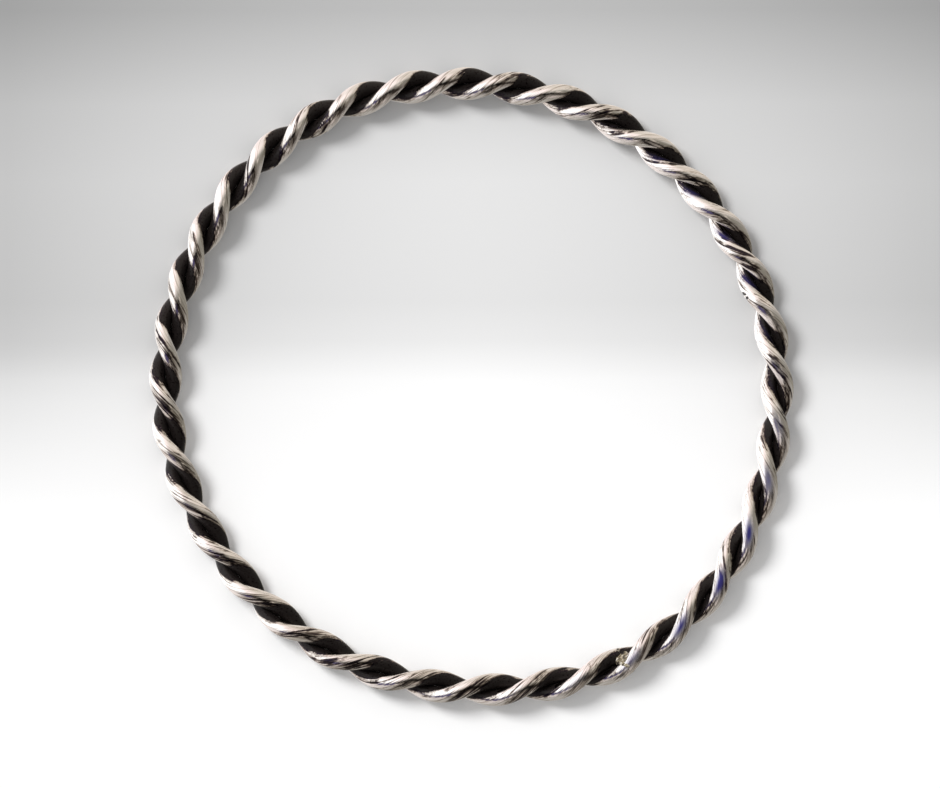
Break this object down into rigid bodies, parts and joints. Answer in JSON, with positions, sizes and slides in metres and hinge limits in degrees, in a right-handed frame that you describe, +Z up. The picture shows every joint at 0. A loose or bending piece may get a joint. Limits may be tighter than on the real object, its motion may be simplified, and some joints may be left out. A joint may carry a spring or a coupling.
{
  "type": "twisted wire bangle",
  "caption": "Closed round bangle of silver wires twisted into a rope, blackened in the valleys and polished on the crests, soldered at its joint, worn loose on the wrist.",
  "frame": {"origin": "middle of the ring, on the surface that the bangle lies on", "axes": "+Z up, along the axis that the wrist goes through; +Y to the top of the view from above"},
  "size_m": [0.0744, 0.0739, 0.0038],
  "materials": {
    "silver_wire": "drawn silver, oxidised black in the valleys and polished on the crests",
    "silver_solder": "silver solder, slightly pitted and dark with oxide"
  },
  "bodies": {
    "root": {"strand_a": "silver_wire", "strand_b": "silver_wire", "solder_seam": "silver_solder"}
  },
  "joints": []
}
